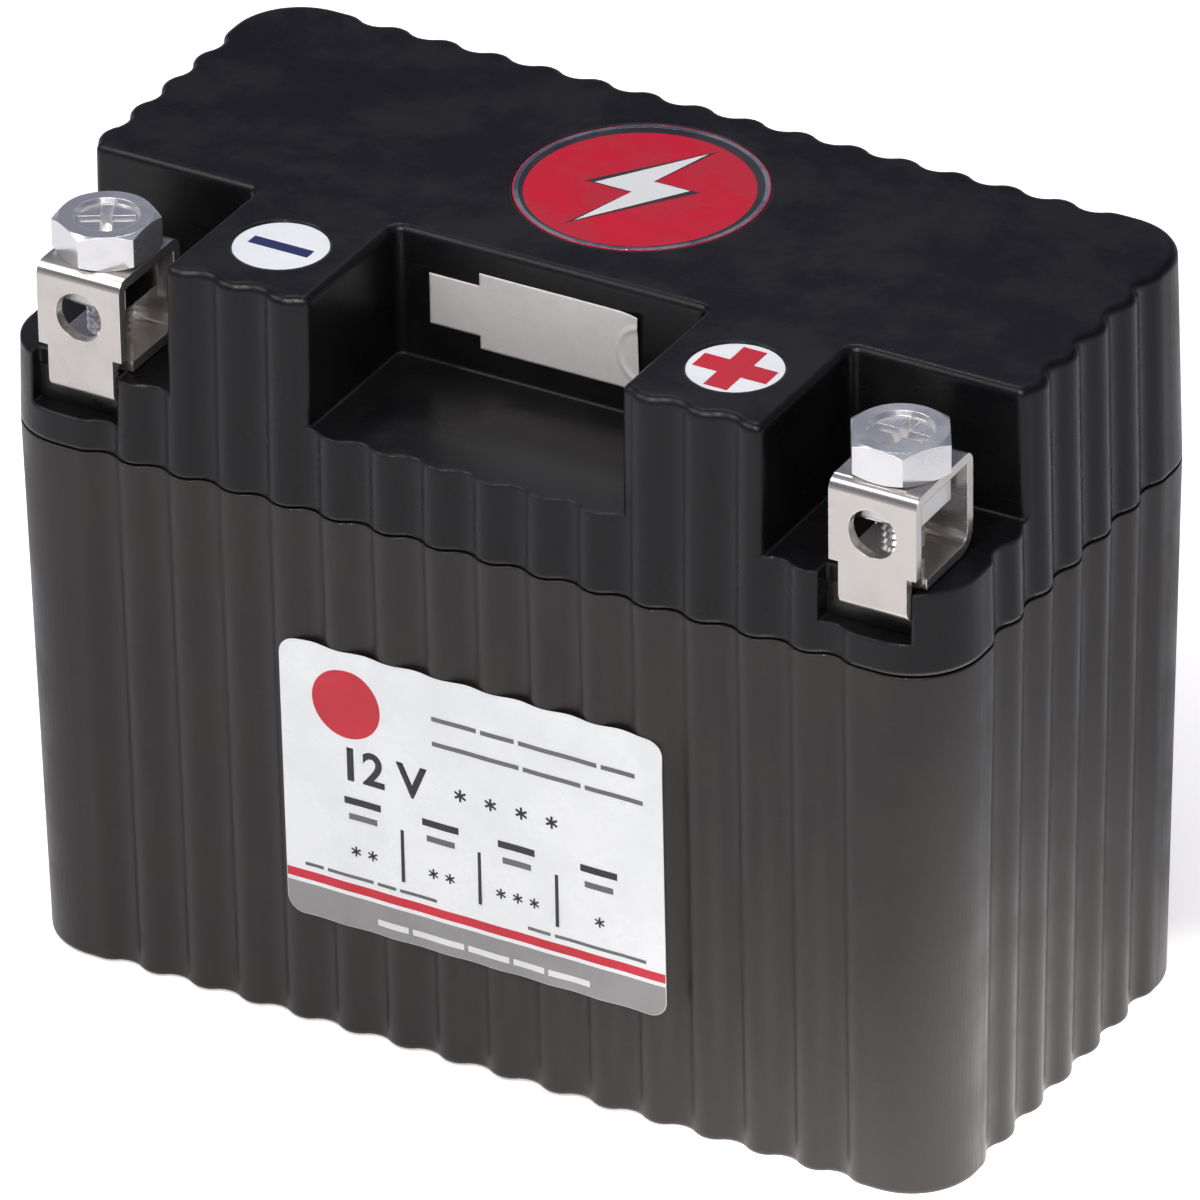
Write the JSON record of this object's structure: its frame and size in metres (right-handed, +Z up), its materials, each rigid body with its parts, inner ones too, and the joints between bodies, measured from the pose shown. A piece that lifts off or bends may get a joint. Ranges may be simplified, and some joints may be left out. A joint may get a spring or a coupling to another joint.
{
  "type": "motorcycle battery",
  "caption": "Small sealed motorcycle starter battery with a fluted case, stepped lid and folded strip terminals with bolts and square nuts.",
  "frame": {"origin": "middle of the case's underside, on the surface it stands on", "axes": "+X along the case from the negative to the positive terminal, +Y from the labelled front to the back, +Z up"},
  "size_m": [0.113, 0.058, 0.0887],
  "materials": {
    "case_plastic": "moulded satin black",
    "lid_plastic": "moulded satin black, fine grain",
    "seal_black": "matt",
    "strip_nickel": "bright nickel plate",
    "resin_black": "cast resin",
    "disc_white": "satin",
    "badge_red": "glossy with a silver rim",
    "label_film": "printed film",
    "port_plastic": "moulded",
    "pin_brass": "plated",
    "foil_silver": "satin foil",
    "cell_pouch": "laminated foil",
    "tab_nickel": "plain",
    "foam_grey": "closed cell foam",
    "carrier_plastic": "moulded",
    "link_copper": "copper, tinned at the joints",
    "lead_cover": "silicone covered wire",
    "bolt_zinc": "bright zinc plate",
    "nut_zinc": "bright zinc plate"
  },
  "bodies": {
    "battery": {"case": "case_plastic", "lid": "lid_plastic", "lid_seal": "seal_black", "terminal_negative": "strip_nickel", "terminal_positive": "strip_nickel", "terminal_sealant_negative": "resin_black", "terminal_sealant_positive": "resin_black", "polarity_disc_negative": "disc_white", "polarity_disc_positive": "disc_white", "top_badge": "badge_red", "front_label": "label_film", "balance_port": "port_plastic", "port_pins": "pin_brass", "port_seal": "foil_silver", "cell_1": "cell_pouch", "cell_2": "cell_pouch", "cell_3": "cell_pouch", "cell_4": "cell_pouch", "cell_tabs_1": "tab_nickel", "cell_tabs_2": "tab_nickel", "cell_tabs_3": "tab_nickel", "cell_tabs_4": "tab_nickel", "cell_pads": "foam_grey", "base_pad": "foam_grey", "tab_carrier": "carrier_plastic", "series_link_1": "link_copper", "series_link_2": "link_copper", "series_link_3": "link_copper", "strap_negative": "link_copper", "strap_positive": "link_copper", "balance_leads": "lead_cover"},
    "negative_bolt": {"bolt_negative": "bolt_zinc"},
    "negative_nut": {"nut_negative": "nut_zinc"},
    "positive_bolt": {"bolt_positive": "bolt_zinc"},
    "positive_nut": {"nut_positive": "nut_zinc"}
  },
  "joints": [
    {"name": "negative_nut_travel", "type": "slide", "parent": "battery", "child": "negative_nut", "axis": [0, 0, -1], "range_m": [0, 0.004]},
    {"name": "negative_bolt_turn", "type": "hinge", "parent": "battery", "child": "negative_bolt", "pos_m": [-0.0454, -0.0228, 0.0847], "axis": [0, 0, 1], "range_deg": [0, 1805]},
    {"name": "positive_nut_travel", "type": "slide", "parent": "battery", "child": "positive_nut", "axis": [0, 0, -1], "range_m": [0, 0.004]},
    {"name": "positive_bolt_turn", "type": "hinge", "parent": "battery", "child": "positive_bolt", "pos_m": [0.0481, -0.0228, 0.0847], "axis": [0, 0, 1], "range_deg": [0, 1805]}
  ],
  "couplings": [
    {"joint": "negative_bolt_turn", "follows": "negative_nut_travel", "rad_per_m": 7854},
    {"joint": "positive_bolt_turn", "follows": "positive_nut_travel", "rad_per_m": 7854}
  ]
}
